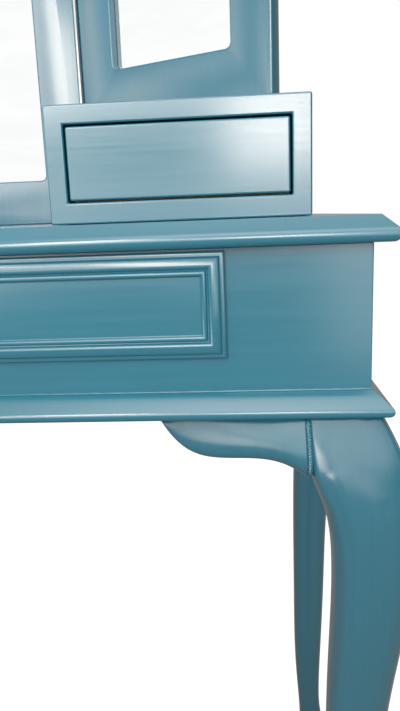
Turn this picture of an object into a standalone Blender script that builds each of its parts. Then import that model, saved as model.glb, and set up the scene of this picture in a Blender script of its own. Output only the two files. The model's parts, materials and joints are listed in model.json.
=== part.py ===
"""A painted dressing desk with a moulded top, a wide apron drawer, two small boxes and a three-part mirror.

Metres, +Z up, the front toward -Y. The origin is on the floor under the middle of the desk.
"""

import math

import bmesh
import bpy

# Driving dimensions of the desk.
TOP_HEIGHT = 0.770
HALF_WIDTH = 0.524
HALF_DEPTH = 0.1950
TOP_THICKNESS = 0.0178
BASE_DROP = 0.1207
BASE_THICKNESS = 0.0152
APRON_THICKNESS = 0.018
GAP = 0.0003
EASE = 0.0012

# The moulded edges of the tabletop and of the base frame, measured out from the apron's face.
TOP_LIP = 0.0038
TOP_NOSE = 0.0152
TOP_NOSE_RADIUS = 0.0054
TOP_BACK_OVERHANG = 0.005
BASE_NOSE = 0.0137
BASE_NOSE_RADIUS = 0.0050
BASE_RAIL_WIDTH = 0.052
NOSE_START = 60
NOSE_STEP = 30

# The legs and the shaped brackets beside their knees.
BRACKET_SEAM = 0.0455
BRACKET_TIP = 0.1478
BRACKET_BACK = 0.017
SIDE_BRACKET_SWELL = 0.70

# The glue blocks in the corners of the carcass.
BLOCK_REACH = 0.060
BLOCK_NECK = 0.016
BOARD_EASE = 0.0008

# The wide drawer behind the apron. Its front overlaps the opening all round.
DRAWER_HALF_WIDTH = 0.4252
DRAWER_TOP_DROP = 0.0200
DRAWER_BOTTOM_DROP = 0.0937
DRAWER_LAP = 0.0065
DRAWER_LIP_DEPTH = 0.0035
DRAWER_SIDE = 0.012
DRAWER_LENGTH = 0.340
DRAWER_BOTTOM = 0.005
DRAWER_BODY = 0.0145
DRAWER_ROUND = 0.0022
DRAWER_CLEAR = 0.0012
DRAWER_BOX_CLEAR = 0.0015
DRAWER_BOX_DROP = 0.004
DRAWER_BOX_EASE = 0.0006
DRAWER_BOTTOM_EASE = 0.0004

# The rabbeted runners beside the wide drawer.
RUNNER_LEDGE = 0.012
RUNNER_REACH = 0.014
RUNNER_GUIDE = 0.018
RUNNER_HEIGHT = 0.030
RUNNER_CLEAR = 0.0006

# The two small boxes on the tabletop.
BOX_INNER_X = 0.3000
BOX_OUTER_X = 0.4866
BOX_FRONT_Y = -0.1665
BOX_DEPTH = 0.240
BOX_HEIGHT = 0.082
BOX_WALL = 0.0135
BOX_FLOOR = 0.0150
BOX_BACK = 0.005
BOX_DRAWER_GAP = 0.0014
BOX_DRAWER_FRONT = 0.015
BOX_DRAWER_SIDE = 0.009
BOX_DRAWER_BOTTOM = 0.004
BOX_EASE = 0.0014
BOX_DRAWER_EASE = 0.0016
BOX_DRAWER_RECESS = 0.0006
BOX_DRAWER_BEHIND = 0.008
BOX_DRAWER_FLOAT = 0.0005
BOX_DRAWER_SIDE_DROP = 0.006

# The mirrors. The wings are hinged at the edges of the centre frame and stand angled forward.
MIRROR_FACE_Y = 0.0720
MIRROR_THICKNESS = 0.0156
HINGE_X = 0.2721
HINGE_GAP = 0.003
STILE = 0.0435
MIRROR_RAIL = 0.0459
CENTRE_TOP_RAIL = 0.050
SHOULDER = 0.600
CENTRE_RISE = 0.060
WING_WIDTH = 0.216
WING_STILE = 0.0415
WING_BOTTOM = 0.1005
WING_BOTTOM_RAIL = 0.048
WING_TOP_RAIL = 0.045
WING_FALL = 0.070
WING_RISE = 0.012
WING_ANGLE = 27.6
REBATE_WIDTH = 0.006
REBATE_DEPTH = 0.0078
GLASS = 0.0035
BACKING = 0.003
CORNER = 0.005
PANE_CLEAR = 0.0005
ARCH_STEPS = 12

# The gussets behind the centre mirror.
GUSSET_FOOT = 0.085
GUSSET_NECK = 0.020
GUSSET_HEIGHT = 0.260
GUSSET_SHOULDER = 0.018
GUSSET_THICKNESS = 0.018

# The long hinges between the frames.
HINGE_AXIS_OUT = 0.0020
BARREL_RADIUS = 0.0018
BORE_RADIUS = 0.0011
PIN_RADIUS = 0.0008
LEAF_NEAR = 0.0005
LEAF_FAR = 0.0012
LEAF_WIDTH = 0.014
KNUCKLES = 7
HINGE_LENGTH = 0.470
HINGE_START = 0.010
KNUCKLE_REACH = 0.004
ROUND_STEPS = 12

# How far a surface may turn at an edge that is still shaded smooth, in degrees.
MOULDING_SMOOTH = 35
BEAD_SMOOTH = 40
BRACKET_SMOOTH = 50
LEG_SMOOTH = 60

# Room that a cutter takes past the faces it opens.
CUT_THROUGH = 0.01

# Finishes: base colour, roughness and metallic value.
FINISHES = {
    "paint": ((0.064, 0.212, 0.296), 0.34, 0.0),
    "dark_paint": ((0.050, 0.165, 0.235), 0.42, 0.0),
    "raw_wood": ((0.560, 0.400, 0.250), 0.62, 0.0),
    "ply": ((0.470, 0.330, 0.200), 0.70, 0.0),
    "mirror_glass": ((0.900, 0.920, 0.920), 0.02, 1.0),
    "steel": ((0.520, 0.520, 0.510), 0.30, 1.0),
}

# The four corners: the signs of X and Y.
CORNERS = {"front_left": (-1, -1), "front_right": (1, -1), "back_left": (-1, 1), "back_right": (1, 1)}

BASE_TOP = TOP_HEIGHT - BASE_DROP
BASE_BOTTOM = BASE_TOP - BASE_THICKNESS
APRON_TOP = TOP_HEIGHT - TOP_THICKNESS - GAP
APRON_BOTTOM = BASE_TOP + GAP

# Legs, from the top down: how far each station is below the tabletop's face, where the leg's
# outer and inner faces are, measured outward from the apron's face, and how much of each half
# face its rounded corner takes.
LEG_STATIONS = [
    (BASE_DROP + BASE_THICKNESS + GAP, 0.0084, -0.0455, 0.08),
    (0.150, 0.0158, -0.0455, 0.11),
    (0.164, 0.0226, -0.0455, 0.18),
    (0.176, 0.0264, -0.0450, 0.26),
    (0.188, 0.0292, -0.0400, 0.32),
    (0.204, 0.0312, -0.0332, 0.38),
    (0.222, 0.0321, -0.0294, 0.42),
    (0.244, 0.0320, -0.0276, 0.42),
    (0.280, 0.0296, -0.0272, 0.42),
    (0.335, 0.0220, -0.0292, 0.42),
    (0.385, 0.0154, -0.0302, 0.42),
    (0.440, 0.0132, -0.0303, 0.42),
    (0.500, 0.0118, -0.0300, 0.42),
    (0.570, 0.0088, -0.0303, 0.42),
    (0.625, 0.0060, -0.0288, 0.42),
    (0.670, 0.0048, -0.0250, 0.42),
    (0.704, 0.0064, -0.0226, 0.42),
    (0.734, 0.0140, -0.0222, 0.42),
    (0.756, 0.0228, -0.0246, 0.42),
    (TOP_HEIGHT, 0.0240, -0.0256, 0.42),
]

# A knee bracket, from its tip to its seam with the leg: how far each station is in from the
# apron's end, its lower edge below the base frame, and how far its swelling stands out there.
BRACKET_STATIONS = [
    (BRACKET_TIP, 0.0010, 0.0040),
    (0.1440, 0.0086, 0.0044),
    (0.1375, 0.0180, 0.0054),
    (0.1295, 0.0252, 0.0068),
    (0.1200, 0.0296, 0.0084),
    (0.1085, 0.0312, 0.0102),
    (0.0930, 0.0308, 0.0126),
    (0.0780, 0.0302, 0.0150),
    (0.0650, 0.0322, 0.0174),
    (0.0560, 0.0362, 0.0194),
    (BRACKET_SEAM + GAP, 0.0426, 0.0216),
]

BRACKET_SHARP_ROWS = [0, 1, 6]


def clear_scene():
    for obj in list(bpy.data.objects):
        bpy.data.objects.remove(obj)


def new_collection(name):
    collection = bpy.data.collections.new(name)
    bpy.context.scene.collection.children.link(collection)
    return collection


def finish(name, kind):
    """The material of one sub-part."""
    colour, roughness, metallic = FINISHES[kind]
    material = bpy.data.materials.new(f"{name}_{kind}")
    material.use_nodes = True
    shader = material.node_tree.nodes["Principled BSDF"]
    shader.inputs["Base Color"].default_value = (*colour, 1.0)
    shader.inputs["Roughness"].default_value = roughness
    shader.inputs["Metallic"].default_value = metallic
    material.diffuse_color = (*colour, 1.0)
    return material


def pivot(name, location, turn=0.0):
    """An empty that the pieces of one moving body hang from."""
    empty = bpy.data.objects.new(name, None)
    empty.location = location
    empty.rotation_euler = (0.0, 0.0, turn)
    PARTS.objects.link(empty)
    return empty


def add_object(name, shape, kind, parent=None, centre=(0.0, 0.0, 0.0)):
    """Turns a bmesh into a named object at centre, in its parent's own coordinates."""
    bmesh.ops.recalc_face_normals(shape, faces=shape.faces)
    mesh = bpy.data.meshes.new(name)
    shape.to_mesh(mesh)
    shape.free()
    obj = bpy.data.objects.new(name, mesh)
    obj.location = centre
    obj.parent = parent
    if kind:
        obj.data.materials.append(finish(name, kind))
    (PARTS if kind else CUTTERS).objects.link(obj)
    return obj


def box_shape(low, high):
    """A cube scaled to the box, about its own centre, and that centre."""
    shape = bmesh.new()
    bmesh.ops.create_cube(shape, size=1.0)
    size = [upper - lower for lower, upper in zip(low, high)]
    bmesh.ops.scale(shape, vec=size, verts=shape.verts)
    return shape, [(lower + upper) / 2 for lower, upper in zip(low, high)]


def bevel(obj, width, segments):
    modifier = obj.modifiers.new("eased_edges", "BEVEL")
    modifier.width = width
    modifier.segments = segments
    modifier.limit_method = "ANGLE"


def board(name, low, high, kind, parent=None, ease=EASE, segments=1):
    """A board between two corners, with eased edges."""
    shape, centre = box_shape(low, high)
    obj = add_object(name, shape, kind, parent, centre)
    bevel(obj, ease, segments)
    return obj


def box_cutter(name, boxes):
    """One hidden cutter made of separate boxes, in world coordinates."""
    whole = bmesh.new()
    for low, high in boxes:
        corners = bmesh.ops.create_cube(whole, size=1.0)["verts"]
        bmesh.ops.scale(whole, vec=[upper - lower for lower, upper in zip(low, high)], verts=corners)
        bmesh.ops.translate(whole, vec=[(lower + upper) / 2 for lower, upper in zip(low, high)], verts=corners)
    cutter = add_object(name, whole, None)
    cutter.hide_render = True
    cutter.display_type = "WIRE"
    return cutter


def cut(obj, cutter):
    modifier = obj.modifiers.new(f"cut_{cutter.name}", "BOOLEAN")
    modifier.object = cutter
    modifier.operation = "DIFFERENCE"


def loft(name, rings, kind, parent=None, capped=True, smooth_angle=None, sharp_rows=None):
    """A closed body through rings of points that all have the same count.

    With capped off, the last ring joins the first, so that the body is a closed frame.
    With sharp_rows, the rings are a cage for a subdivision surface: its two ends stay sharp,
    and so does the edge along each row of points that is named.
    """
    shape = bmesh.new()
    rows = [[shape.verts.new(point) for point in ring] for ring in rings]
    following = rows[1:] if capped else rows[1:] + rows[:1]
    count = len(rings[0])
    for here, there in zip(rows, following):
        for i in range(count):
            j = (i + 1) % count
            shape.faces.new((here[i], here[j], there[j], there[i]))
    if capped:
        shape.faces.new(rows[0])
        shape.faces.new(rows[-1])
    if sharp_rows is not None:
        crease_cage(shape, rows, sharp_rows)
    obj = add_object(name, shape, kind, parent)
    if sharp_rows is not None:
        subdivide(obj)
    if smooth_angle is not None:
        obj.data.shade_smooth()
        obj.data.set_sharp_from_angle(angle=math.radians(smooth_angle))
    return obj


def crease_cage(shape, rows, sharp_rows):
    crease = shape.edges.layers.float.new("crease_edge")
    ends = (set(rows[0]), set(rows[-1]))
    rails = [{row[index] for row in rows} for index in sharp_rows]
    for edge in shape.edges:
        if any(set(edge.verts) <= group for group in (*ends, *rails)):
            edge[crease] = 1.0


def subdivide(obj):
    modifier = obj.modifiers.new("smooth_form", "SUBSURF")
    modifier.levels = 1
    modifier.render_levels = 1


def outline_solid(name, outlines, half_thickness, kind, centre, turn, parent=None):
    """A flat outline, with any holes, drawn in its own XY plane and thickened both ways."""
    curve = bpy.data.curves.new(name, "CURVE")
    curve.dimensions = "2D"
    curve.fill_mode = "BOTH"
    curve.extrude = half_thickness
    for outline in outlines:
        spline = curve.splines.new("POLY")
        spline.points.add(len(outline) - 1)
        for point, (across, up) in zip(spline.points, outline):
            point.co = (across, up, 0.0, 1.0)
        spline.use_cyclic_u = True
    obj = bpy.data.objects.new(name, curve)
    obj.location = centre
    obj.rotation_euler = turn
    obj.parent = parent
    obj.data.materials.append(finish(name, kind))
    PARTS.objects.link(obj)
    return obj


def welded_mesh(obj):
    """Makes a curve object a mesh of the same name and place, with its caps welded on."""
    bpy.context.view_layer.update()
    name = obj.name
    graph = bpy.context.evaluated_depsgraph_get()
    mesh = bpy.data.meshes.new_from_object(obj.evaluated_get(graph))
    shape = bmesh.new()
    shape.from_mesh(mesh)
    bmesh.ops.remove_doubles(shape, verts=shape.verts, dist=1e-6)
    shape.to_mesh(mesh)
    shape.free()
    solid = bpy.data.objects.new(name, mesh)
    PARTS.objects.link(solid)
    solid.parent = obj.parent
    solid.matrix_world = obj.matrix_world
    bpy.data.objects.remove(obj)
    solid.name = name
    return solid


def nosing(lip, nose, radius, top, bottom):
    """A moulded edge, from the top down: a slope, then a rounded nose. Points are (out, z)."""
    middle = bottom + radius
    points = [(lip, top)]
    for degrees in range(NOSE_START, -91, -NOSE_STEP):
        angle = math.radians(degrees)
        points.append((nose - radius + radius * math.cos(angle), middle + radius * math.sin(angle)))
    return points


def make_tabletop():
    back = HALF_DEPTH + TOP_BACK_OVERHANG
    rings = []
    for out, z in nosing(TOP_LIP, TOP_NOSE, TOP_NOSE_RADIUS, TOP_HEIGHT, TOP_HEIGHT - TOP_THICKNESS):
        side = HALF_WIDTH + out
        front = -HALF_DEPTH - out
        rings.append([(-side, front, z), (side, front, z), (side, back, z), (-side, back, z)])
    loft("tabletop", rings, "paint", smooth_angle=MOULDING_SMOOTH)


def make_base_frame():
    """Four rails under the aprons. The front and side rails are moulded and mitred."""
    profile = nosing(0.0, BASE_NOSE, BASE_NOSE_RADIUS, BASE_TOP, BASE_BOTTOM)
    profile += [(-BASE_RAIL_WIDTH, BASE_BOTTOM), (-BASE_RAIL_WIDTH, BASE_TOP)]
    ends = []
    for side in (-1, 1):
        ends.append([(side * (HALF_WIDTH + out - GAP), -HALF_DEPTH - out, z) for out, z in profile])
    loft("base_rail_front", ends, "paint", smooth_angle=MOULDING_SMOOTH)
    for side, word in ((-1, "left"), (1, "right")):
        mitre = [(side * (HALF_WIDTH + out), -HALF_DEPTH - out + GAP, z) for out, z in profile]
        square = [(x, HALF_DEPTH, z) for x, y, z in mitre]
        loft(f"base_rail_{word}", [mitre, square], "paint", smooth_angle=MOULDING_SMOOTH)
    inner = HALF_WIDTH - BASE_RAIL_WIDTH - GAP
    board(
        "base_rail_back",
        (-inner, HALF_DEPTH - BASE_RAIL_WIDTH, BASE_BOTTOM),
        (inner, HALF_DEPTH, BASE_TOP),
        "dark_paint",
    )


def make_aprons():
    low, high = APRON_BOTTOM, APRON_TOP
    inside = HALF_DEPTH - APRON_THICKNESS
    front = board(
        "apron_front",
        (-HALF_WIDTH, -HALF_DEPTH, low),
        (HALF_WIDTH, -inside, high),
        "paint",
        ease=BOARD_EASE,
    )
    opening = DRAWER_HALF_WIDTH - DRAWER_LAP
    cutter = box_cutter(
        "drawer_opening",
        [
            (
                (-opening, -HALF_DEPTH - CUT_THROUGH, TOP_HEIGHT - DRAWER_BOTTOM_DROP + DRAWER_LAP),
                (opening, -inside + CUT_THROUGH, TOP_HEIGHT - DRAWER_TOP_DROP - DRAWER_LAP),
            )
        ],
    )
    cut(front, cutter)
    back_low, back_high = (-HALF_WIDTH, inside, low), (HALF_WIDTH, HALF_DEPTH, high)
    board("apron_back", back_low, back_high, "dark_paint", ease=BOARD_EASE)
    for side, word in ((-1, "left"), (1, "right")):
        faces = sorted((side * (HALF_WIDTH - APRON_THICKNESS), side * HALF_WIDTH))
        board(
            f"apron_{word}",
            (faces[0], -inside + GAP, low),
            (faces[1], inside - GAP, high),
            "paint",
            ease=BOARD_EASE,
        )


def rounded_square(outer, inner, corner):
    """Eight points round a section whose faces are outer and inner, from the apron's planes."""
    middle = (outer + inner) / 2
    half = (outer - inner) / 2
    short = half * (1 - corner)
    corners = [(half, short), (short, half), (-short, half), (-half, short)]
    corners += [(-across, -up) for across, up in corners]
    return [(middle + across, middle + up) for across, up in corners]


def make_leg(name, side, end):
    """A cabriole leg that bows outward on the diagonal. side and end are the signs of X and Y."""
    rings = []
    for drop, outer, inner, corner in LEG_STATIONS:
        z = TOP_HEIGHT - drop
        section = rounded_square(outer, inner, corner)
        rings.append([(side * (HALF_WIDTH + a), end * (HALF_DEPTH + b), z) for a, b in section])
    loft(name, rings, "paint", smooth_angle=LEG_SMOOTH, sharp_rows=[])


def bracket_section(drop, out):
    """The bracket's section at one station: (out, z) points, from its upper back edge round."""
    top = BASE_BOTTOM - GAP
    low = top - drop
    return [
        (-BRACKET_BACK, top),
        (0.36 * out, top),
        (0.80 * out, top - 0.32 * drop),
        (1.03 * out, top - 0.60 * drop),
        (0.96 * out, top - 0.84 * drop),
        (0.62 * out, low),
        (-BRACKET_BACK, low),
    ]


def make_brackets():
    """Shaped brackets beside each front knee, one under the front apron and one under the side."""
    for side, word in ((-1, "left"), (1, "right")):
        front_rings = []
        side_rings = []
        for along, drop, out in BRACKET_STATIONS:
            section = bracket_section(drop, out)
            flatter = bracket_section(drop, SIDE_BRACKET_SWELL * out)
            front_rings.append([(side * (HALF_WIDTH - along), -HALF_DEPTH - o, z) for o, z in section])
            side_rings.append([(side * (HALF_WIDTH + o), -HALF_DEPTH + along, z) for o, z in flatter])
        for place, rings in (("front", front_rings), ("side", side_rings)):
            name = f"knee_bracket_{place}_{word}"
            loft(name, rings, "paint", smooth_angle=BRACKET_SMOOTH, sharp_rows=BRACKET_SHARP_ROWS)


def make_corner_blocks():
    """Glue blocks inside the four corners of the carcass."""
    reach, neck = BLOCK_REACH, BLOCK_NECK
    outline = [(0.0, 0.0), (reach, 0.0), (reach, neck), (neck, reach), (0.0, reach)]
    height = APRON_TOP - APRON_BOTTOM - 2 * GAP
    inside_x = HALF_WIDTH - APRON_THICKNESS - GAP
    inside_y = HALF_DEPTH - APRON_THICKNESS - GAP
    for word, (side, end) in CORNERS.items():
        shape = [(-side * across, -end * up) for across, up in outline]
        centre = (side * inside_x, end * inside_y, (APRON_TOP + APRON_BOTTOM) / 2)
        outline_solid(f"corner_block_{word}", [shape], height / 2, "raw_wood", centre, (0.0, 0.0, 0.0))


def make_runners():
    """Two rabbeted runners, from the front apron to the back, that the wide drawer rides on."""
    bearing = TOP_HEIGHT - DRAWER_BOTTOM_DROP + DRAWER_LAP
    box_half = DRAWER_HALF_WIDTH - DRAWER_LAP - DRAWER_BOX_CLEAR
    inner, outer = box_half - RUNNER_REACH, box_half + RUNNER_GUIDE
    wall = box_half + RUNNER_CLEAR
    low, high = bearing - RUNNER_LEDGE, bearing + RUNNER_HEIGHT
    half_length = HALF_DEPTH - APRON_THICKNESS - GAP
    for side, word in ((-1, "left"), (1, "right")):
        outline = [
            (side * inner, low),
            (side * outer, low),
            (side * outer, high),
            (side * wall, high),
            (side * wall, bearing),
            (side * inner, bearing),
        ]
        turn = (math.pi / 2, 0.0, 0.0)
        outline_solid(f"drawer_runner_{word}", [outline], half_length, "raw_wood", (0, 0, 0), turn)


def drawer_box(prefix, parent, half_width, low, high, back, side, bottom):
    """Two sides, a back and a bottom behind a drawer's front, in the drawer's own coordinates."""
    for sign, word in ((-1, "left"), (1, "right")):
        faces = sorted((sign * (half_width - side), sign * half_width))
        near, far = (faces[0], GAP, low), (faces[1], back, high)
        board(f"{prefix}_{word}", near, far, "raw_wood", parent, DRAWER_BOX_EASE)
    inner = half_width - side - GAP
    near, far = (-inner, back - side, low + bottom + GAP), (inner, back, high)
    board(f"{prefix}_back", near, far, "raw_wood", parent, DRAWER_BOX_EASE)
    near, far = (-inner, GAP, low), (inner, back, low + bottom)
    board(f"{prefix}_bottom", near, far, "ply", parent, DRAWER_BOTTOM_EASE)


def rectangle(half_width, low, high, y):
    return [(-half_width, y, low), (half_width, y, low), (half_width, y, high), (-half_width, y, high)]


def make_wide_drawer():
    """The apron drawer. Its own origin is in the middle of the apron's face."""
    middle = TOP_HEIGHT - (DRAWER_TOP_DROP + DRAWER_BOTTOM_DROP) / 2
    slide = pivot("apron_drawer_slide", (0.0, -HALF_DEPTH, middle))
    half = (DRAWER_BOTTOM_DROP - DRAWER_TOP_DROP) / 2
    wide = DRAWER_HALF_WIDTH
    round_off, rabbet = DRAWER_ROUND, DRAWER_LAP + DRAWER_CLEAR
    part_way = 0.3 * round_off
    face, seat = -DRAWER_LIP_DEPTH - GAP, -2 * GAP
    front_rings = [
        rectangle(wide - round_off, -half + round_off, half - round_off, face),
        rectangle(wide - part_way, -half + part_way, half - part_way, face + part_way),
        rectangle(wide, -half, half, face + round_off),
        rectangle(wide, -half, half, seat),
        rectangle(wide - rabbet, -half + rabbet, half - rabbet, seat),
        rectangle(wide - rabbet, -half + rabbet, half - rabbet, DRAWER_BODY),
    ]
    loft("apron_drawer_front", front_rings, "paint", slide, smooth_angle=MOULDING_SMOOTH)
    make_drawer_moulding(slide, wide, half, face - GAP)
    box_half = wide - DRAWER_LAP - DRAWER_BOX_CLEAR
    body = pivot("apron_drawer_box", (0.0, DRAWER_BODY + GAP, 0.0))
    body.parent = slide
    drawer_box(
        "apron_drawer",
        body,
        box_half,
        -half + DRAWER_LAP + GAP,
        half - DRAWER_LAP - DRAWER_BOX_DROP,
        DRAWER_LENGTH,
        DRAWER_SIDE,
        DRAWER_BOTTOM,
    )


def make_drawer_moulding(parent, wide, half, face):
    """The mitred moulding on the drawer's face: a raised ridge, a cove, then a small bead."""
    section = [(0.0034, 0.0), (0.0038, 0.0012), (0.0066, 0.0027)]
    section += arc_points(0.0092, 0.0010, 0.0024, 100, 10, 30)
    section += [(0.0120, 0.0006)]
    section += arc_points(0.0146, 0.0006, 0.0018, 150, 0, 30)
    section += [(0.0171, 0.0)]
    rings = []
    for inset, height in section:
        rings.append(rectangle(wide - inset, -half + inset, half - inset, face - height))
    loft("apron_drawer_moulding", rings, "paint", parent, capped=False, smooth_angle=BEAD_SMOOTH)


def arc_points(across, up, radius, start, stop, step):
    """Points of an arc about (across, up), from start to stop in degrees, going clockwise."""
    angles = [math.radians(degrees) for degrees in range(start, stop - 1, -step)]
    return [(across + radius * math.cos(angle), up + radius * math.sin(angle)) for angle in angles]


def make_box(side, word):
    """A small case open at the front, its back panel, and its inset drawer."""
    low_x, high_x = sorted((side * BOX_INNER_X, side * BOX_OUTER_X))
    floor = TOP_HEIGHT + GAP
    back = BOX_FRONT_Y + BOX_DEPTH
    case = board(
        f"box_case_{word}",
        (low_x, BOX_FRONT_Y, floor),
        (high_x, back - BOX_BACK - GAP, floor + BOX_HEIGHT),
        "paint",
        ease=BOX_EASE,
        segments=2,
    )
    hollow = (
        (low_x + BOX_WALL, BOX_FRONT_Y - CUT_THROUGH, floor + BOX_FLOOR),
        (high_x - BOX_WALL, back + CUT_THROUGH, floor + BOX_HEIGHT - BOX_WALL),
    )
    cut(case, box_cutter(f"box_hollow_{word}", [hollow]))
    near, far = (low_x, back - BOX_BACK, floor), (high_x, back, floor + BOX_HEIGHT)
    board(f"box_back_{word}", near, far, "ply", ease=DRAWER_BOX_EASE)

    middle_z = floor + (BOX_HEIGHT - BOX_WALL + BOX_FLOOR) / 2
    slide = pivot(f"box_drawer_slide_{word}", ((low_x + high_x) / 2, BOX_FRONT_Y, middle_z))
    half_width = (high_x - low_x) / 2 - BOX_WALL - BOX_DRAWER_GAP
    half_height = (BOX_HEIGHT - BOX_WALL - BOX_FLOOR) / 2 - BOX_DRAWER_GAP
    board(
        f"box_drawer_{word}_front",
        (-half_width, BOX_DRAWER_RECESS, -half_height),
        (half_width, BOX_DRAWER_FRONT, half_height),
        "paint",
        slide,
        ease=BOX_DRAWER_EASE,
        segments=2,
    )
    body = pivot(f"box_drawer_box_{word}", (0.0, BOX_DRAWER_FRONT, 0.0))
    body.parent = slide
    length = BOX_DEPTH - BOX_BACK - BOX_DRAWER_FRONT - BOX_DRAWER_BEHIND
    low = -half_height - BOX_DRAWER_GAP + BOX_DRAWER_FLOAT
    drawer_box(
        f"box_drawer_{word}",
        body,
        half_width,
        low,
        half_height - BOX_DRAWER_SIDE_DROP,
        length,
        BOX_DRAWER_SIDE,
        BOX_DRAWER_BOTTOM,
    )


def mirror_outline(left, right, bottom, left_top, right_top, rise, corner):
    """An upright outline with rounded lower corners and a shaped top, as (x, z) points."""
    points = arc_points(left + corner, bottom + corner, corner, 270, 180, 45)[::-1]
    points += arc_points(right - corner, bottom + corner, corner, 0, -90, 45)[::-1]
    for i in range(ARCH_STEPS + 1):
        part = i / ARCH_STEPS
        blend = part * part * (3 - 2 * part)
        z = right_top + (left_top - right_top) * blend + rise * math.sin(math.pi * part)
        points.append((right + (left - right) * part, z))
    return points


def inset_outline(shape, stile, rail, top_rail, corner):
    left, right, bottom, left_top, right_top, rise = shape
    return mirror_outline(
        left + stile,
        right - stile,
        bottom + rail,
        left_top - top_rail,
        right_top - top_rail,
        rise,
        corner,
    )


def make_mirror(name, shape, widths, parent):
    """A frame with a rebate behind its opening, and the glass and backing board held there.

    shape is (left, right, bottom, left top, right top, rise); widths is (stile, rail, top rail).
    The front face lies at Y = 0 in the parent's coordinates.
    """
    thick = MIRROR_THICKNESS
    floor = thick - REBATE_DEPTH

    def ring(share, extra, y, corner=CORNER):
        inset = [share * width + extra for width in widths]
        return [(x, y, z) for x, z in inset_outline(shape, *inset, corner)]

    rings = [
        ring(0, EASE, 0.0),
        ring(0, 0.0, EASE),
        ring(0, 0.0, thick - EASE),
        ring(0, EASE, thick),
        ring(1, -REBATE_WIDTH, thick),
        ring(1, -REBATE_WIDTH, floor),
        ring(1, 0.0, floor),
        ring(1, 0.0, EASE),
        ring(1, -EASE, 0.0),
    ]
    loft(f"{name}_frame", rings, "paint", parent, capped=False, smooth_angle=MOULDING_SMOOTH)
    clear = PANE_CLEAR - REBATE_WIDTH
    glass_front = floor + GAP
    glass_back = glass_front + GLASS
    backing_front = glass_back + GAP
    panes = {"glass": (glass_front, glass_back), "backing": (backing_front, backing_front + BACKING)}
    for word, (front, back) in panes.items():
        kind = "mirror_glass" if word == "glass" else "ply"
        loft(f"{name}_{word}", [ring(1, clear, front), ring(1, clear, back)], kind, parent)


def make_mirrors():
    centre = pivot("centre_mirror_base", (0.0, MIRROR_FACE_Y, TOP_HEIGHT + GAP))
    half = HINGE_X - HINGE_GAP / 2
    shape = (-half, half, 0.0, SHOULDER, SHOULDER, CENTRE_RISE)
    make_mirror("centre_mirror", shape, (STILE, MIRROR_RAIL, CENTRE_TOP_RAIL), centre)
    for side, word in ((-1, "left"), (1, "right")):
        axis = (side * HINGE_X, MIRROR_FACE_Y - HINGE_AXIS_OUT, TOP_HEIGHT + GAP)
        turn = -side * math.radians(WING_ANGLE)
        hinge = pivot(f"wing_hinge_{word}", axis, turn)
        face = pivot(f"wing_face_{word}", (0.0, HINGE_AXIS_OUT, 0.0))
        face.parent = hinge
        near, far = HINGE_GAP / 2, HINGE_GAP / 2 + WING_WIDTH
        low_end, high_end = SHOULDER, SHOULDER - WING_FALL
        if side > 0:
            shape = (near, far, WING_BOTTOM, low_end, high_end, WING_RISE)
        else:
            shape = (-far, -near, WING_BOTTOM, high_end, low_end, WING_RISE)
        make_mirror(f"wing_{word}", shape, (WING_STILE, WING_BOTTOM_RAIL, WING_TOP_RAIL), face)
        make_hinge(side, word, axis, hinge)


def leaf_outline(sign):
    """A leaf and its barrel in plan, about the pin, with the leaf on the sign side of X."""
    near, far = LEAF_NEAR, LEAF_FAR
    start = math.degrees(math.asin(far / BARREL_RADIUS))
    stop = math.degrees(math.asin(near / BARREL_RADIUS)) + 360
    outline = []
    for i in range(ROUND_STEPS + 1):
        angle = math.radians(start + (stop - start) * i / ROUND_STEPS)
        outline.append((sign * BARREL_RADIUS * math.sin(angle), BARREL_RADIUS * math.cos(angle)))
    end = HINGE_AXIS_OUT + LEAF_WIDTH
    outline += [(sign * near, end), (sign * far, end)]
    bore = []
    for i in range(ROUND_STEPS):
        angle = 2 * math.pi * i / ROUND_STEPS
        bore.append((BORE_RADIUS * math.sin(angle), BORE_RADIUS * math.cos(angle)))
    return [outline, bore]


def make_hinge(side, word, axis, hinge):
    """A long hinge: a leaf on each frame, with alternate knuckles, and the pin through them."""
    low = WING_BOTTOM + HINGE_START
    knuckle = HINGE_LENGTH / KNUCKLES
    middle = low + HINGE_LENGTH / 2
    fixed = outline_solid(
        f"hinge_leaf_fixed_{word}",
        leaf_outline(-side),
        HINGE_LENGTH / 2,
        "steel",
        (axis[0], axis[1], axis[2] + middle),
        (0.0, 0.0, 0.0),
    )
    moving = outline_solid(
        f"hinge_leaf_moving_{word}",
        leaf_outline(side),
        HINGE_LENGTH / 2,
        "steel",
        (0.0, 0.0, middle),
        (0.0, 0.0, 0.0),
        hinge,
    )
    reach = KNUCKLE_REACH
    for leaf, parity in ((fixed, 1), (moving, 0)):
        boxes = []
        for i in range(KNUCKLES):
            if i % 2 != parity:
                continue
            start = low + i * knuckle - GAP
            boxes.append(((-reach, -reach, start), (reach, HINGE_AXIS_OUT + GAP, start + knuckle + 2 * GAP)))
        gaps = box_cutter(f"{leaf.name}_gaps", boxes)
        gaps.location = axis
        gaps.rotation_euler = hinge.rotation_euler if parity == 0 else (0.0, 0.0, 0.0)
        cut(welded_mesh(leaf), gaps)
    shape = bmesh.new()
    bmesh.ops.create_cone(
        shape,
        cap_ends=True,
        segments=10,
        radius1=PIN_RADIUS,
        radius2=PIN_RADIUS,
        depth=HINGE_LENGTH,
    )
    pin = add_object(f"hinge_pin_{word}", shape, "steel", None, (axis[0], axis[1], axis[2] + middle))
    pin.data.shade_smooth()
    pin.data.set_sharp_from_angle(angle=math.radians(BRACKET_SMOOTH))


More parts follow.
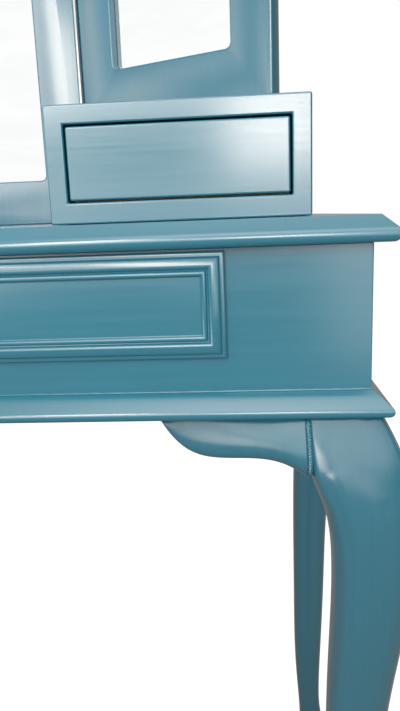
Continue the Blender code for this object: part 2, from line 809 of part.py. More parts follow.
def make_mirror_supports():
    """Two gussets that stand on the tabletop and hold the centre frame up from behind."""
    foot, neck, height, shoulder = GUSSET_FOOT, GUSSET_NECK, GUSSET_HEIGHT, GUSSET_SHOULDER
    outline = [(0.0, 0.0), (foot, 0.0), (foot, shoulder), (neck, height - neck), (neck, height), (0.0, height)]
    back = MIRROR_FACE_Y + MIRROR_THICKNESS + GAP
    x = HINGE_X - STILE / 2
    turn = (math.pi / 2, 0.0, math.pi / 2)
    for side, word in ((-1, "left"), (1, "right")):
        centre = (side * x, back, TOP_HEIGHT + GAP)
        outline_solid(f"mirror_support_{word}", [outline], GUSSET_THICKNESS / 2, "dark_paint", centre, turn)


def make_desk():
    make_tabletop()
    make_base_frame()
    make_aprons()
    for word, (side, end) in CORNERS.items():
        make_leg(f"leg_{word}", side, end)
    make_brackets()
    make_corner_blocks()
    make_runners()
    make_wide_drawer()
    make_box(-1, "left")
    make_box(1, "right")
    make_mirrors()
    make_mirror_supports()


clear_scene()
PARTS = new_collection("dressing_desk")
CUTTERS = new_collection("cutters")
make_desk()
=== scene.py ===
"""The looks of the painted dressing desk: finishes, fine shapes, small fixings, light and camera.

Metres, +Z up, the front toward -Y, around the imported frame. Angles are in degrees unless a comment
says radians.
"""

import json
import math

import bmesh
import bpy
from mathutils import Matrix, Vector, noise
from mathutils.bvhtree import BVHTree

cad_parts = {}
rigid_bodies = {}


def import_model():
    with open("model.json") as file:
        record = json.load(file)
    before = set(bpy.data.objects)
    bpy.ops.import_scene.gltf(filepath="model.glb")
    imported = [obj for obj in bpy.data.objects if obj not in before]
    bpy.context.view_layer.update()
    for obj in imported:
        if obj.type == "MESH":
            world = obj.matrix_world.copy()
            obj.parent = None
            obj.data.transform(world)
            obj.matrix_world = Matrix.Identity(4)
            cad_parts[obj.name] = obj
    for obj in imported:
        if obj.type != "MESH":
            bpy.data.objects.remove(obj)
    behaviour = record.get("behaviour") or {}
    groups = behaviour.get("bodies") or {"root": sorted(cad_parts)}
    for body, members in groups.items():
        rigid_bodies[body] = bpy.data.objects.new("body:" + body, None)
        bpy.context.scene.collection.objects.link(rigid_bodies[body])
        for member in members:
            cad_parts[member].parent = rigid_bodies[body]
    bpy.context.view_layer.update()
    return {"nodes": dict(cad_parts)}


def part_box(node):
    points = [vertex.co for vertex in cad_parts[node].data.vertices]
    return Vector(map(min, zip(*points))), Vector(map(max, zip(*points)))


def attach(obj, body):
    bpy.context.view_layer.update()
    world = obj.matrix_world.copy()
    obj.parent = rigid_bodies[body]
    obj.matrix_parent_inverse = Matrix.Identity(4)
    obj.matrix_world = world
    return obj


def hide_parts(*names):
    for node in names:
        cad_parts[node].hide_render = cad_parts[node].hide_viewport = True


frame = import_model()
NODES = frame["nodes"]

# The camera stands close to the right half of the desk and looks slightly down. Its turns are in radians.
EYE = (0.4404, -0.6343, 0.77343)
YAW = 0.078
PITCH = 0.213
ROLL = -0.039
SENSOR = 36.0
LENS = 32.81
NEAREST = 0.01

# The soft glows of the studio: direction from the desk's front toward +X, height above level, spread,
# and strength. Most stand behind the camera.
GLOWS = [
    (-66, 2, 7, 2.2),
    (-66, 12, 6, 1.4),
    (-40, 2, 6, 2.5),
    (-26, 2, 6, 3.6),
    (-26, 13, 6, 3.8),
    (-2, 12, 6, 1.1),
    (10, 2, 6, 1.2),
    (-54, 24, 7, 1.0),
    (-29, 19, 4, 9.0),
    (-21, 35, 5, 2.4),
    (-2, 26, 10, 1.1),
    (26, 26, 12, 1.3),
    (0, 40, 12, 0.3),
    (0, 63, 14, 2.6),
    (150, 30, 30, 0.33),
    (-150, 30, 30, 0.33),
    (0, 88, 20, 0.9),
]
# Soft cards close behind the camera, which face the desk: centre, width, height, power.
CARDS = [
    ((0.510, -0.95, 0.950), 0.20, 0.17, 1.2),
    ((0.350, -0.95, 0.800), 0.60, 0.10, 0.42),
    ((0.250, -0.95, 1.010), 0.32, 0.07, 0.45),
    ((0.100, -0.95, 1.190), 0.24, 0.42, 3.1),
    ((0.720, -0.95, 0.640), 0.26, 0.28, 0.30),
]
CARD_TINT = (1.0, 0.875, 0.80)
WHITE = (1.0, 1.0, 1.0, 1.0)
# The strength of the light from all around, and of what the camera and the mirrors see there.
SURROUND = 0.15
BACKDROP = 1.0

# The floor lies just under the soles, and reaches so far from its middle. It lights the desk as a mid
# grey, and its glow is added only where it is looked at.
FLOOR_DROP = 0.0005
FLOOR_REACH = 9.0
FLOOR_TONE = 0.32
FLOOR_FLECK = 0.97
FLOOR_GLOW = 0.86
FLOOR_GRAIN = 300
FLOOR_ROUGHNESS = 0.9

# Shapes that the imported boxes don't give. BASE_SWELL's points say how far the base moulding stands out
# from the apron's face, and how far they lie below the top of its rail. It climbs a little up the apron.
TOP_LIP = 0.0038
TOP_NOSE_RADIUS = 0.0054
TOP_NOSE_START = 60
BASE_NOSE_RADIUS = 0.0042
BASE_NOSE_START = 40
NOSE_STEP = 10
BASE_RISE = 0.0026
BASE_SWELL = [(0.0002, -BASE_RISE), (0.0031, -0.0006), (0.0059, 0.0015), (0.0086, 0.0040), (0.0110, 0.0065)]
DRAWER_LAP = 0.0077
APRON_OVERLAP = 0.0012
LIP_RADIUS = 0.0022
LIP_STEP = 15
SEAT_GAP = 0.0006
BOX_DRAWER_GAP = 0.0014

# The section of the wide drawer's moulding, as (inset, height): edge, ridge, cove, bead and foot. The
# ridge and the bead are arcs: the centre, the radius, the first and last angle, and the step.
MOULDING_EDGE = [(0.0, 0.0), (0.0004, 0.0012), (0.0018, 0.0021), (0.0032, 0.0027)]
MOULDING_RIDGE = (0.0058, 0.0010, 0.0024, 100, 4, 12)
MOULDING_COVE = [(0.0086, 0.0006), (0.0091, 0.0005)]
MOULDING_BEAD = (0.0112, 0.0006, 0.0018, 165, 0, 15)
MOULDING_FOOT = [(0.0137, 0.0)]

# How far each kind of edge is eased.
TABLETOP_EASE = 0.0007
BASE_EASE = 0.0006
APRON_EASE = 0.0010
APRON_FRONT_EASE = 0.0008
BOX_CASE_EASE = 0.0014
BOX_FRONT_EASE = 0.0015
BOX_BACK_EASE = 0.0005
TRAY_EASE = 0.0006
TRAY_BOTTOM_EASE = 0.0004
MIRROR_EASE = 0.0005
EASED_FROM = 30

# The turns at which shading breaks: on boards, beads and lines, on moulded edges and mirror frames, and
# on small shapes.
SHARP_BOARD = 60
SHARP_MOULDING = 50
SHARP_SMALL = 40
# CAD points closer than this are one, and faces that turn less than this are one flat face.
JOIN_WITHIN = 1e-5
FLAT_WITHIN = 0.5

# How a leg or bracket becomes a smooth form: the turn that stays sharp, and the turn from which an
# upright edge of a leg is held tighter.
SHARP_FORM = 48
ARRIS_FROM = 20
ARRIS_UPRIGHT = 0.8
ARRIS_CREASE = 0.55
QUAD_FACE = 50
QUAD_SHAPE = 60
SUBDIVISIONS = 2

# The filler between a bracket and its leg. Rays from PROBE_START away, on both sides of the joint, find
# the surface, and a hit beyond PROBE_REACH is on some other part.
SEAM_DROP = 0.0006
SEAM_LENGTH = 0.046
SEAM_STEP = 0.0003
SEAM_SHIFT = 0.0014
SEAM_SINK = 0.0002
SEAM_PROBES = (-0.0010, 0.0042)
PROBE_START = 1.0
PROBE_REACH = 0.88
# The bead's section, its twisted ridges and its random lumps. It starts and ends thin.
BEAD_WIDTH = 0.0052
BEAD_DEPTH = 0.0036
BEAD_SIDES = 18
BEAD_PITCH = 0.0018
BEAD_RIDGE = 0.20
BEAD_LUMP = 0.10
BEAD_LUMP_SCALE = 900
BEAD_THINNEST = 0.25
BEAD_START = 0.003
BEAD_FADE = 0.012
BEAD_END = 0.3

# The uneven line of paint over the base moulding. Its waves are (noise scale, share, noise layer).
LINE_STEP = 0.0025
LINE_SIZE = 0.0009
LINE_SWING = 0.55
LINE_WAVES = [(140, 1.0, 0.0), (420, 0.6, 5.0)]
LINE_ANGLES = (90, 60, 30, 0)
LINE_HOLLOW = 0.25
LINE_SINK = 0.0002

# A cross-head screw: its radius, its dome as (share of the radius, height), and its cross. Each is
# turned SCREW_SPIN radians further than the one before, and SCREW_MARGIN is its place from the edges.
SCREW_RADIUS = 0.0032
SCREW_SIDES = 20
SCREW_DOME = [(1.0, -0.0004), (1.0, 0.0001), (0.9, 0.0004), (0.45, 0.0005)]
CROSS_ARM = 0.42
CROSS_WAIST = 0.16
CROSS_HEIGHT = 0.00045
CROSS_DEPTH = 0.0006
SCREW_SPIN = 0.7
SCREW_MARGIN = 0.008

# Colours as screen values from 0 to 255. Noise blends the two colours of a pair.
PAINT = (38, 117, 142)
# The legs' colour is a lighter copy of PAINT, which is painted light. Toward the floor it gives way to the
# darker colour below it, which is painted shade.
LIT_LEG_PAINT = (50, 130, 158)
SHADED_LOW_PAINT = (44, 103, 122)
PINE = ((214, 184, 140), (176, 138, 92))
PLY = ((186, 160, 122), (160, 132, 94))
SILVER = ((254, 254, 254), (249, 251, 251))
STEEL = ((176, 186, 190), (206, 216, 220))

# Noise scales, per metre: a pair is across and along the grain. A relief is a height in metres, and a
# window is the stretch of a noise's values that is used.
BRUSH_SCALE = (330, 9)
PORE_SCALE = (2600, 40)
DRIFT_SCALE = (9, 9, 9)
SKIN_SCALE = (460, 460, 460)
BRUSH_RELIEF = 0.000016
PORE_RELIEF = 0.000006
SKIN_RELIEF = 0.000014
TONE_SWING = 0.018
BRUSH_SHARE = 0.55
TONE_WINDOW = (0.35, 0.65)
ROUGH_WINDOW = (0.3, 0.7)
PORE_WINDOW = (0.62, 0.74)
# How far up from the floor the painted shade on the legs reaches.
SHADE_REACH = 0.6
PAINT_ROUGHNESS = (0.19, 0.25)
PAINT_GLOSS = {"Specular_IOR_Level": 0.9, "Coat_Weight": 0.6, "Coat_Roughness": 0.18}
RING_SCALE = (70, 2.5)
FIBRE_SCALE = (1500, 20)
RING_WARP = 1.2
RING_SHARE = 0.75
WOOD_WINDOW = (0.36, 0.64)
WOOD_ROUGHNESS = (0.55, 0.7)
FIBRE_RELIEF = 0.00008
SMEAR_SCALE = (9, 9, 40)
SMEAR_WARP = 0.8
STEEL_SCALE = (2500, 30)
STEEL_ROUGHNESS = (0.25, 0.4)
STEEL_RELIEF = 0.00001

# The finish of each CAD node that shows as it is: the first of these words in its name decides.
CAD_FINISHES = [
    ("hinge", "steel"),
    ("glass", "glass"),
    ("wing_left_backing", "ply_z"),
    ("wing_right_backing", "ply_z"),
    ("backing", "ply_x"),
    ("corner_block", "wood_z"),
    ("runner", "wood_y"),
]
# Pieces whose names start so take no light from the cards, and neither does the glass.
UNLIT_BY_CARDS = ("leg_", "knee_", "floor")


def linear(rgb):
    """The linear colour of a screen colour given from 0 to 255."""
    out = []
    for value in rgb:
        part = value / 255
        out.append(part / 12.92 if part <= 0.04045 else ((part + 0.055) / 1.055) ** 2.4)
    return (*out, 1.0)


def grey(tone):
    """A linear grey."""
    return (tone, tone, tone, 1.0)


def add_node(tree, kind, values=None, **settings):
    """A new shader node. values gives its inputs, each a number or colour, or the socket that feeds it."""
    made = tree.nodes.new(kind)
    for key, value in settings.items():
        setattr(made, key, value)
    for socket, value in (values or {}).items():
        if isinstance(value, bpy.types.NodeSocket):
            tree.links.new(value, made.inputs[socket])
        else:
            made.inputs[socket].default_value = value
    return made


def reckon(tree, operation, first, second=0.0):
    """The result of a sum on two numbers or sockets."""
    return add_node(tree, "ShaderNodeMath", {0: first, 1: second}, operation=operation).outputs[0]


def seen_sharply(tree):
    """1 where the camera or a clear mirror looks straight at a surface, otherwise 0."""
    path = add_node(tree, "ShaderNodeLightPath").outputs
    return reckon(tree, "MAXIMUM", path["Is Camera Ray"], path["Is Singular Ray"])


def aim_camera():
    forward = Vector((-math.sin(YAW) * math.cos(PITCH), math.cos(YAW) * math.cos(PITCH), -math.sin(PITCH)))
    level = Vector((math.cos(YAW), math.sin(YAW), 0.0))
    upright = level.cross(forward)
    across = math.cos(ROLL) * level + math.sin(ROLL) * upright
    up = math.cos(ROLL) * upright - math.sin(ROLL) * level
    turn = Matrix((across, up, -forward)).transposed().to_4x4()
    lens = bpy.data.cameras.new("camera")
    lens.sensor_fit = "VERTICAL"
    lens.sensor_height = SENSOR
    lens.lens = LENS
    lens.clip_start = NEAREST
    camera = bpy.data.objects.new("camera", lens)
    camera.matrix_world = Matrix.Translation(EYE) @ turn
    bpy.context.scene.collection.objects.link(camera)
    bpy.context.scene.camera = camera


def direction(azimuth, elevation):
    """The unit vector toward a glow. Azimuth 0 is in front of the desk and grows toward +X."""
    across, up = math.radians(azimuth), math.radians(elevation)
    return (math.sin(across) * math.cos(up), -math.cos(across) * math.cos(up), math.sin(up))


def light_studio():
    """A surround with soft glows, which the camera and the mirrors see as plain white, and the cards."""
    world = bpy.data.worlds.new("studio")
    world.use_nodes = True
    tree = world.node_tree
    tree.nodes.clear()
    looking = add_node(tree, "ShaderNodeTexCoord").outputs["Generated"]
    total = None
    for azimuth, elevation, spread, strength in GLOWS:
        values = {0: looking, 1: direction(azimuth, elevation)}
        nearness = add_node(tree, "ShaderNodeVectorMath", values, operation="DOT_PRODUCT").outputs["Value"]
        fall = reckon(tree, "MULTIPLY", reckon(tree, "SUBTRACT", nearness, 1.0), math.radians(spread) ** -2)
        glow = reckon(tree, "MULTIPLY", reckon(tree, "EXPONENT", fall), strength)
        total = reckon(tree, "ADD", glow, SURROUND if total is None else total)
    around = add_node(tree, "ShaderNodeBackground", {"Color": (*CARD_TINT, 1.0), "Strength": total})
    seen = add_node(tree, "ShaderNodeBackground", {"Color": WHITE, "Strength": BACKDROP})
    values = {0: seen_sharply(tree), 1: around.outputs[0], 2: seen.outputs[0]}
    mix = add_node(tree, "ShaderNodeMixShader", values)
    add_node(tree, "ShaderNodeOutputWorld", {"Surface": mix.outputs[0]})
    bpy.context.scene.world = world
    bpy.context.scene.view_settings.view_transform = "Standard"
    for number, (centre, width, height, power) in enumerate(CARDS):
        lamp = bpy.data.lights.new(f"card_{number}", "AREA")
        lamp.shape = "RECTANGLE"
        lamp.size = width
        lamp.size_y = height
        lamp.energy = power
        lamp.color = CARD_TINT
        card = bpy.data.objects.new(f"card_{number}", lamp)
        card.location = centre
        card.rotation_euler = (math.radians(90), 0.0, 0.0)
        card.visible_camera = False
        bpy.context.scene.collection.objects.link(card)


def limit_cards():
    """Keeps the cards' light off the legs, brackets and floor, and their shapes out of the mirrors."""
    lit = bpy.data.collections.new("upper_parts")
    for thing in bpy.context.scene.objects:
        left_out = thing.name.startswith(UNLIT_BY_CARDS) or "glass" in thing.name
        if thing.type == "MESH" and not left_out:
            lit.objects.link(thing)
    for number in range(len(CARDS)):
        bpy.data.objects[f"card_{number}"].light_linking.receiver_collection = lit


def lay_floor():
    """A plain pale floor, lifted toward the white of the surround where it is looked at."""
    shape = bmesh.new()
    bmesh.ops.create_grid(shape, x_segments=1, y_segments=1, size=FLOOR_REACH)
    mesh = bpy.data.meshes.new("floor")
    shape.to_mesh(mesh)
    shape.free()
    floor = bpy.data.objects.new("floor", mesh)
    floor.location = (0.0, 0.0, -FLOOR_DROP)
    bpy.context.scene.collection.objects.link(floor)
    made = Finish("floor_paper")
    fibres = made.noise((FLOOR_GRAIN, FLOOR_GRAIN, FLOOR_GRAIN), detail=2)
    tone = made.blend(fibres, grey(FLOOR_TONE), grey(FLOOR_FLECK * FLOOR_TONE))
    glow = reckon(made.tree, "MULTIPLY", seen_sharply(made.tree), FLOOR_GLOW)
    made.tree.links.new(glow, made.shader.inputs["Emission Strength"])
    made.shader.inputs["Emission Color"].default_value = WHITE
    mesh.materials.append(made.done(tone, FLOOR_ROUGHNESS, Specular_IOR_Level=0.0))


class Finish:
    """A material under construction: a Principled shader and short calls for the nodes before it."""

    def __init__(self, name):
        self.material = bpy.data.materials.new(name)
        self.material.use_nodes = True
        self.tree = self.material.node_tree
        self.shader = self.tree.nodes["Principled BSDF"]

    def place(self, stretch=(1.0, 1.0, 1.0)):
        """The object's own coordinates, in metres, with each axis scaled by stretch."""
        spot = add_node(self.tree, "ShaderNodeTexCoord").outputs["Object"]
        return add_node(self.tree, "ShaderNodeMapping", {"Vector": spot, "Scale": stretch}).outputs[0]

    def noise(self, stretch, detail=2.0, distortion=0.0):
        values = {"Vector": self.place(stretch), "Scale": 1.0, "Detail": detail, "Distortion": distortion}
        return add_node(self.tree, "ShaderNodeTexNoise", values).outputs["Fac"]

    def spread(self, value, low, high, start=0.0, stop=1.0):
        """Maps value from start..stop onto low..high, held at both ends."""
        values = {"Value": value, "From Min": start, "From Max": stop, "To Min": low, "To Max": high}
        return add_node(self.tree, "ShaderNodeMapRange", values).outputs[0]

    def weigh(self, first, share, second):
        """share of the first value and the rest of the second."""
        kept = reckon(self.tree, "MULTIPLY", first, share)
        rest = reckon(self.tree, "MULTIPLY", second, 1 - share)
        return reckon(self.tree, "ADD", kept, rest)

    def blend(self, amount, first, second):
        """A colour between the first, at 0, and the second, at 1."""
        values = {0: amount, 6: first, 7: second}
        return add_node(self.tree, "ShaderNodeMix", values, data_type="RGBA").outputs[2]

    def bump(self, height, relief, before=None):
        values = {"Height": height, "Distance": relief, "Strength": 1.0}
        if before:
            values["Normal"] = before
        return add_node(self.tree, "ShaderNodeBump", values).outputs[0]

    def done(self, colour, roughness, normal=None, **sockets):
        for socket, value in (("Base Color", colour), ("Roughness", roughness), ("Normal", normal)):
            if isinstance(value, bpy.types.NodeSocket):
                self.tree.links.new(value, self.shader.inputs[socket])
            elif value is not None:
                self.shader.inputs[socket].default_value = value
        for socket, value in sockets.items():
            self.shader.inputs[socket.replace("_", " ")].default_value = value
        return self.material


def along(grain, fine, slow):
    """Texture scales that are fine across the grain's axis and slow along it."""
    return tuple(slow if axis == grain else fine for axis in "xyz")


def paint(name, grain, colour=PAINT, shade_colour=None):
    """Satin paint over wood: brush marks along the grain, faint pores, and a slow change of tone.

    A colour given last takes over toward the floor as painted shade, darker towards the bottom.
    """
    made = Finish(name)
    brush = made.noise(along(grain, *BRUSH_SCALE), detail=4)
    pores = made.noise(along(grain, *PORE_SCALE), detail=1)
    drift = made.noise(DRIFT_SCALE, detail=1)
    deep = linear([value * (1 - TONE_SWING) for value in colour])
    pale = linear([value * (1 + TONE_SWING) + 1 for value in colour])
    tone = made.weigh(brush, BRUSH_SHARE, drift)
    base = made.blend(made.spread(tone, 0.0, 1.0, *TONE_WINDOW), deep, pale)
    # Painted shade: toward the floor the colour turns darker.
    if shade_colour:
        height = add_node(made.tree, "ShaderNodeSeparateXYZ", {0: made.place()}).outputs["Z"]
        base = made.blend(made.spread(height, 1.0, 0.0, 0.0, SHADE_REACH), base, linear(shade_colour))
    rough = made.spread(brush, *PAINT_ROUGHNESS, *ROUGH_WINDOW)
    skin = made.bump(made.noise(SKIN_SCALE, detail=2), SKIN_RELIEF)
    marks = made.bump(brush, BRUSH_RELIEF, skin)
    pits = made.bump(made.spread(pores, 1.0, 0.0, *PORE_WINDOW), PORE_RELIEF, marks)
    return made.done(base, rough, pits, **PAINT_GLOSS)


def bare_wood(name, grain, pale, dark):
    """Sanded, unpainted wood, with growth rings stretched along the grain."""
    made = Finish(name)
    rings = made.noise(along(grain, *RING_SCALE), detail=4, distortion=RING_WARP)
    fibres = made.noise(along(grain, *FIBRE_SCALE), detail=2)
    tone = made.weigh(rings, RING_SHARE, fibres)
    base = made.blend(made.spread(tone, 0.0, 1.0, *WOOD_WINDOW), linear(dark), linear(pale))
    rough = made.spread(fibres, *WOOD_ROUGHNESS, *ROUGH_WINDOW)
    return made.done(base, rough, made.bump(fibres, FIBRE_RELIEF))


def mirror_glass():
    """Clear silvered glass with faint smears left by the cloth."""
    made = Finish("mirror_glass")
    smears = made.noise(SMEAR_SCALE, detail=4, distortion=SMEAR_WARP)
    clean, smeared = (linear(colour) for colour in SILVER)
    silver = made.blend(made.spread(smears, 0.0, 1.0, *TONE_WINDOW), clean, smeared)
    return made.done(silver, 0.0, Metallic=1.0)


def hinge_steel():
    """Plated steel, brushed along its length."""
    made = Finish("hinge_steel")
    brushed = made.noise(along("z", *STEEL_SCALE), detail=2)
    dull, bright = (linear(colour) for colour in STEEL)
    tone = made.blend(made.spread(brushed, 0.0, 1.0, *ROUGH_WINDOW), dull, bright)
    rough = made.spread(brushed, *STEEL_ROUGHNESS, *ROUGH_WINDOW)
    return made.done(tone, rough, made.bump(brushed, STEEL_RELIEF), Metallic=1.0)


def add_piece(name, mesh, material, body, hides=()):
    """Puts a mesh in the scene as a piece that rides on a body and may stand for CAD nodes."""
    piece = bpy.data.objects.new(name, mesh)
    bpy.context.scene.collection.objects.link(piece)
    mesh.materials.append(material)
    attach(piece, body)
    if hides:
        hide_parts(*hides)
    return piece


def mesh_of(name, shape, sharp):
    """A mesh from a bmesh, shaded smooth apart from edges that turn by more than sharp degrees."""
    bmesh.ops.recalc_face_normals(shape, faces=shape.faces)
    mesh = bpy.data.meshes.new(name)
    shape.to_mesh(mesh)
    shape.free()
    mesh.shade_smooth()
    mesh.set_sharp_from_angle(angle=math.radians(sharp))
    return mesh


def joined(node):
    """A copy of a CAD node's mesh whose triangles share their points."""
    shape = bmesh.new()
    shape.from_mesh(NODES[node].data)
    bmesh.ops.remove_doubles(shape, verts=shape.verts, dist=JOIN_WITHIN)
    return shape


def ease_edges(piece, width, segments=3):
    """Rounds a piece's edges, and keeps its flat faces flat in the light."""
    modifier = piece.modifiers.new("eased_edges", "BEVEL")
    modifier.width = width
    modifier.segments = segments
    modifier.limit_method = "ANGLE"
    modifier.angle_limit = math.radians(EASED_FROM)
    modifier.harden_normals = True


def block(low, high):
    """A box between two corners."""
    shape = bmesh.new()
    bmesh.ops.create_cube(shape, size=1.0)
    bmesh.ops.scale(shape, vec=high - low, verts=shape.verts)
    bmesh.ops.translate(shape, vec=(low + high) / 2, verts=shape.verts)
    return shape


def loft(rings, closed=False):
    """A surface through rings of equally many points, which meets its start if closed or else is capped."""
    shape = bmesh.new()
    rows = [[shape.verts.new(point) for point in ring] for ring in rings]
    following = rows[1:] + rows[:1] if closed else rows[1:]
    for here, there in zip(rows, following):
        for i in range(len(here)):
            j = (i + 1) % len(here)
            shape.faces.new((here[i], here[j], there[j], there[i]))
    if not closed:
        shape.faces.new(rows[0])
        shape.faces.new(rows[-1])
    return shape


def upright_ring(low, high, inset, y):
    """The corners of an upright rectangle at depth y, which lies inside low and high by inset."""
    left, right = low.x + inset, high.x - inset
    bottom, top = low.z + inset, high.z - inset
    return [(left, y, bottom), (right, y, bottom), (right, y, top), (left, y, top)]


def arc(across, up, radius, start, stop, step):
    """Points round a centre, from the angle start down to stop."""
    angles = [math.radians(degrees) for degrees in range(start, stop - 1, -step)]
    return [(across + radius * math.cos(angle), up + radius * math.sin(angle)) for angle in angles]


def rounded_nose(reach, bottom, radius, start):
    """The rounded lower edge of a moulding, from the angle start down. Points are (out, z)."""
    return arc(reach - radius, bottom + radius, radius, start, -90, NOSE_STEP)


def soft_boards(body, material, width, names):
    """Boards with rounded edges, each the size of its CAD node."""
    for name in names:
        mesh = mesh_of(name, block(*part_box(name)), SHARP_BOARD)
        piece = add_piece(f"{name}_board", mesh, material, body, [name])
        ease_edges(piece, width)


def framed_board(name, hole_low, hole_high, material, width):
    """A board with a rectangular opening through its thickness."""
    low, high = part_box(name)
    outside = [upright_ring(low, high, 0.0, y) for y in (low.y, high.y)]
    inside = [upright_ring(hole_low, hole_high, 0.0, y) for y in (high.y, low.y)]
    mesh = mesh_of(name, loft(outside + inside, closed=True), SHARP_BOARD)
    piece = add_piece(f"{name}_board", mesh, material, "desk", [name])
    ease_edges(piece, width)


def fine_tabletop(material):
    """The top, whose edge slopes out to a rounded nose round the front and sides."""
    low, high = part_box("tabletop")
    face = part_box("apron_front")[0]
    profile = [(TOP_LIP, high.z)] + rounded_nose(face.y - low.y, low.z, TOP_NOSE_RADIUS, TOP_NOSE_START)
    rings = []
    for out, z in profile:
        side, front = out - face.x, face.y - out
        rings.append([(-side, front, z), (side, front, z), (side, high.y, z), (-side, high.y, z)])
    mesh = mesh_of("tabletop", loft(rings), SHARP_MOULDING)
    piece = add_piece("tabletop_board", mesh, material, "desk", ["tabletop"])
    ease_edges(piece, TABLETOP_EASE, segments=2)


def fine_base_moulding(material):
    """The moulded rails round the front and sides as one painted-over moulding with mitred corners."""
    low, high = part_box("base_rail_front")
    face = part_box("apron_front")[0]
    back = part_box("base_rail_left")[1].y
    profile = [(out, high.z - drop) for out, drop in BASE_SWELL]
    profile += rounded_nose(face.y - low.y, low.z, BASE_NOSE_RADIUS, BASE_NOSE_START)
    inset = face.y - high.y
    profile += [(inset, low.z), (inset, high.z), (BASE_SWELL[0][0], high.z)]
    rings = []
    for side in (-1, 1):
        corner = [(side * (out - face.x), face.y - out, z) for out, z in profile]
        end = [(x, back, z) for x, _, z in corner]
        rings += [end, corner] if side < 0 else [corner, end]
    mesh = mesh_of("base_moulding", loft(rings), SHARP_MOULDING)
    hides = ["base_rail_front", "base_rail_left", "base_rail_right"]
    piece = add_piece("base_moulding", mesh, material, "desk", hides)
    ease_edges(piece, BASE_EASE, segments=2)


def fine_drawer_moulding(material):
    """The mitred moulding on the wide drawer: a raised ridge, a cove and a small bead."""
    low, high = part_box("apron_drawer_moulding")
    section = MOULDING_EDGE + arc(*MOULDING_RIDGE) + MOULDING_COVE + arc(*MOULDING_BEAD) + MOULDING_FOOT
    rings = [upright_ring(low, high, inset, high.y - height) for inset, height in section]
    mesh = mesh_of("drawer_moulding", loft(rings, closed=True), SHARP_SMALL)
    hides = ["apron_drawer_moulding"]
    add_piece("drawer_moulding", mesh, material, "apron_drawer", hides)


def fine_drawer_front(material):
    """The wide drawer's front: a panel with a rounded lip that laps the apron."""
    low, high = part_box("apron_drawer_front")
    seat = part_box("apron_front")[0].y - SEAT_GAP
    rings = []
    for degrees in range(90, -1, -LIP_STEP):
        angle = math.radians(degrees)
        inset = LIP_RADIUS * (1 - math.cos(angle))
        rings.append(upright_ring(low, high, inset, low.y + LIP_RADIUS * (1 - math.sin(angle))))
    for inset, y in ((0.0, seat), (DRAWER_LAP, seat), (DRAWER_LAP, high.y)):
        rings.append(upright_ring(low, high, inset, y))
    mesh = mesh_of("drawer_panel", loft(rings), SHARP_SMALL)
    add_piece("drawer_panel", mesh, material, "apron_drawer", ["apron_drawer_front"])


def smooth_form(name, material):
    """A leg or bracket as a fine subdivision surface, with its flat ends kept sharp."""
    shape = joined(name)
    bmesh.ops.join_triangles(
        shape,
        faces=shape.faces,
        angle_face_threshold=math.radians(QUAD_FACE),
        angle_shape_threshold=math.radians(QUAD_SHAPE),
    )
    crease = shape.edges.layers.float.new("crease_edge")
    for edge in shape.edges:
        turn = edge.calc_face_angle() if len(edge.link_faces) == 2 else 0.0
        run = edge.verts[1].co - edge.verts[0].co
        on_leg_arris = name.startswith("leg") and abs(run.z) > ARRIS_UPRIGHT * run.length
        if turn > math.radians(SHARP_FORM):
            edge[crease] = 1.0
        elif turn > math.radians(ARRIS_FROM) and on_leg_arris:
            edge[crease] = ARRIS_CREASE
    mesh = mesh_of(name, shape, SHARP_FORM)
    piece = add_piece(f"{name}_form", mesh, material, "desk", [name])
    modifier = piece.modifiers.new("smooth_form", "SUBSURF")
    modifier.levels = SUBDIVISIONS
    modifier.render_levels = SUBDIVISIONS


def fine_mirror(name, material, body):
    """A mirror's frame with its flat faces whole again and its edges eased."""
    node = f"{name}_frame"
    shape = joined(node)
    flat = math.radians(FLAT_WITHIN)
    bmesh.ops.dissolve_limit(shape, angle_limit=flat, verts=shape.verts, edges=shape.edges)
    mesh = mesh_of(node, shape, SHARP_MOULDING)
    piece = add_piece(f"{node}_joinery", mesh, material, body, [node])
    ease_edges(piece, MIRROR_EASE, segments=2)


def tube(points, radius_at, sides, across):
    """A capped tube along points, of radius radius_at(distance, angle). Angle 0 is toward across."""
    rings = []
    distance = 0.0
    for i, point in enumerate(points):
        ahead = points[min(i + 1, len(points) - 1)] - points[max(i - 1, 0)]
        out = ahead.normalized().cross(across).normalized()
        if i:
            distance += (point - points[i - 1]).length
        ring = []
        for k in range(sides):
            angle = 2 * math.pi * k / sides
            reach = radius_at(distance, angle)
            ring.append(point + reach * (math.cos(angle) * across + math.sin(angle) * out))
        rings.append(ring)
    return loft(rings)


def surface_finder(names):
    """A call that gives the first point of these nodes along a ray, or None."""
    shape = bmesh.new()
    for name in names:
        shape.from_mesh(NODES[name].data)
    tree = BVHTree.FromBMesh(shape)
    shape.free()
    return lambda start, way: tree.ray_cast(start, way)[0]


def bead_radius(distance, angle):
    """The bead's radius so far from its start: an ellipse with twisted ridges and random lumps."""
    ending = (SEAM_LENGTH - distance) / BEAD_FADE + BEAD_END
    taper = max(BEAD_THINNEST, min(1.0, distance / BEAD_START, ending))
    lump = 1 + BEAD_RIDGE * math.cos(2 * angle - 2 * math.pi * distance / BEAD_PITCH)
    spot = Vector((distance * BEAD_LUMP_SCALE, math.cos(angle), math.sin(angle)))
    lump += BEAD_LUMP * noise.noise(spot)
    narrowness = math.hypot(math.cos(angle) / (BEAD_WIDTH / 2), math.sin(angle) / (BEAD_DEPTH / 2))
    return taper * lump / narrowness


